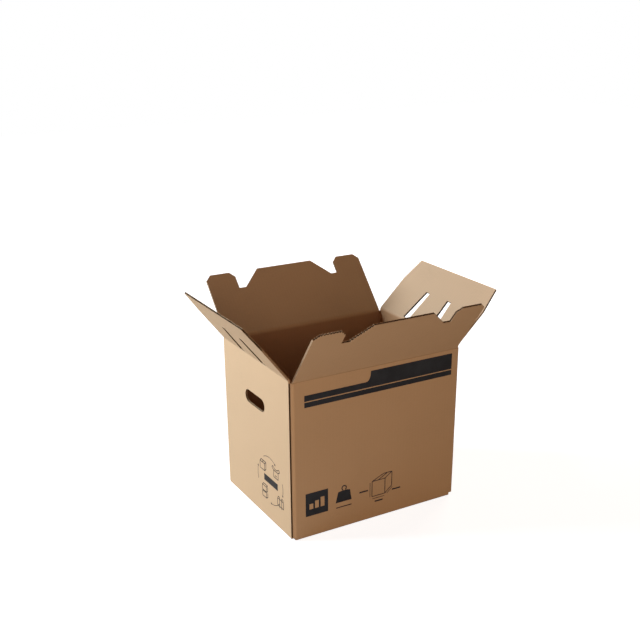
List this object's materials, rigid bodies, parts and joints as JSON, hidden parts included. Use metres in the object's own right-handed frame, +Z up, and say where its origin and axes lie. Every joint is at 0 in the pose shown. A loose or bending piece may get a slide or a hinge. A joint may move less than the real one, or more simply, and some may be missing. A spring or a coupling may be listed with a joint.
{
  "type": "moving box",
  "caption": "Open moving box of single-wall corrugated board with hand holes, hooked long flaps, slotted end flaps and a tucked bottom.",
  "frame": {"origin": "middle of the base, on the underside of the bottom flaps", "axes": "+Z up, printed long wall towards -Y, end wall with the glued joint towards -X, long side of the box along X"},
  "size_m": [0.5908, 0.4891, 0.4667],
  "materials": {
    "kraft_board": "uncoated brown kraft liner",
    "print_ink": "matt black flexo print"
  },
  "bodies": {
    "carton": {"carton_body": "kraft_board", "upper_band": "print_ink", "lower_band": "print_ink", "size_square": "print_ink", "side_plate": "print_ink"},
    "front_lid": {"front_flap": "kraft_board"},
    "back_lid": {"back_flap": "kraft_board"},
    "left_lid": {"left_flap": "kraft_board"},
    "right_lid": {"right_flap": "kraft_board"}
  },
  "joints": [
    {"name": "front_crease", "type": "hinge", "parent": "carton", "child": "front_lid", "pos_m": [0, -0.149, 0.3465], "axis": [1, 0, 0], "range_deg": [-126.5, 93.5]},
    {"name": "back_crease", "type": "hinge", "parent": "carton", "child": "back_lid", "pos_m": [0, 0.149, 0.3465], "axis": [-1, 0, 0], "range_deg": [-132.5, 87.5]},
    {"name": "left_crease", "type": "hinge", "parent": "carton", "child": "left_lid", "pos_m": [-0.199, 0, 0.3509], "axis": [0, -1, 0], "range_deg": [-127.6, 92.4]},
    {"name": "right_crease", "type": "hinge", "parent": "carton", "child": "right_lid", "pos_m": [0.199, 0, 0.3509], "axis": [0, 1, 0], "range_deg": [-136, 84]}
  ]
}
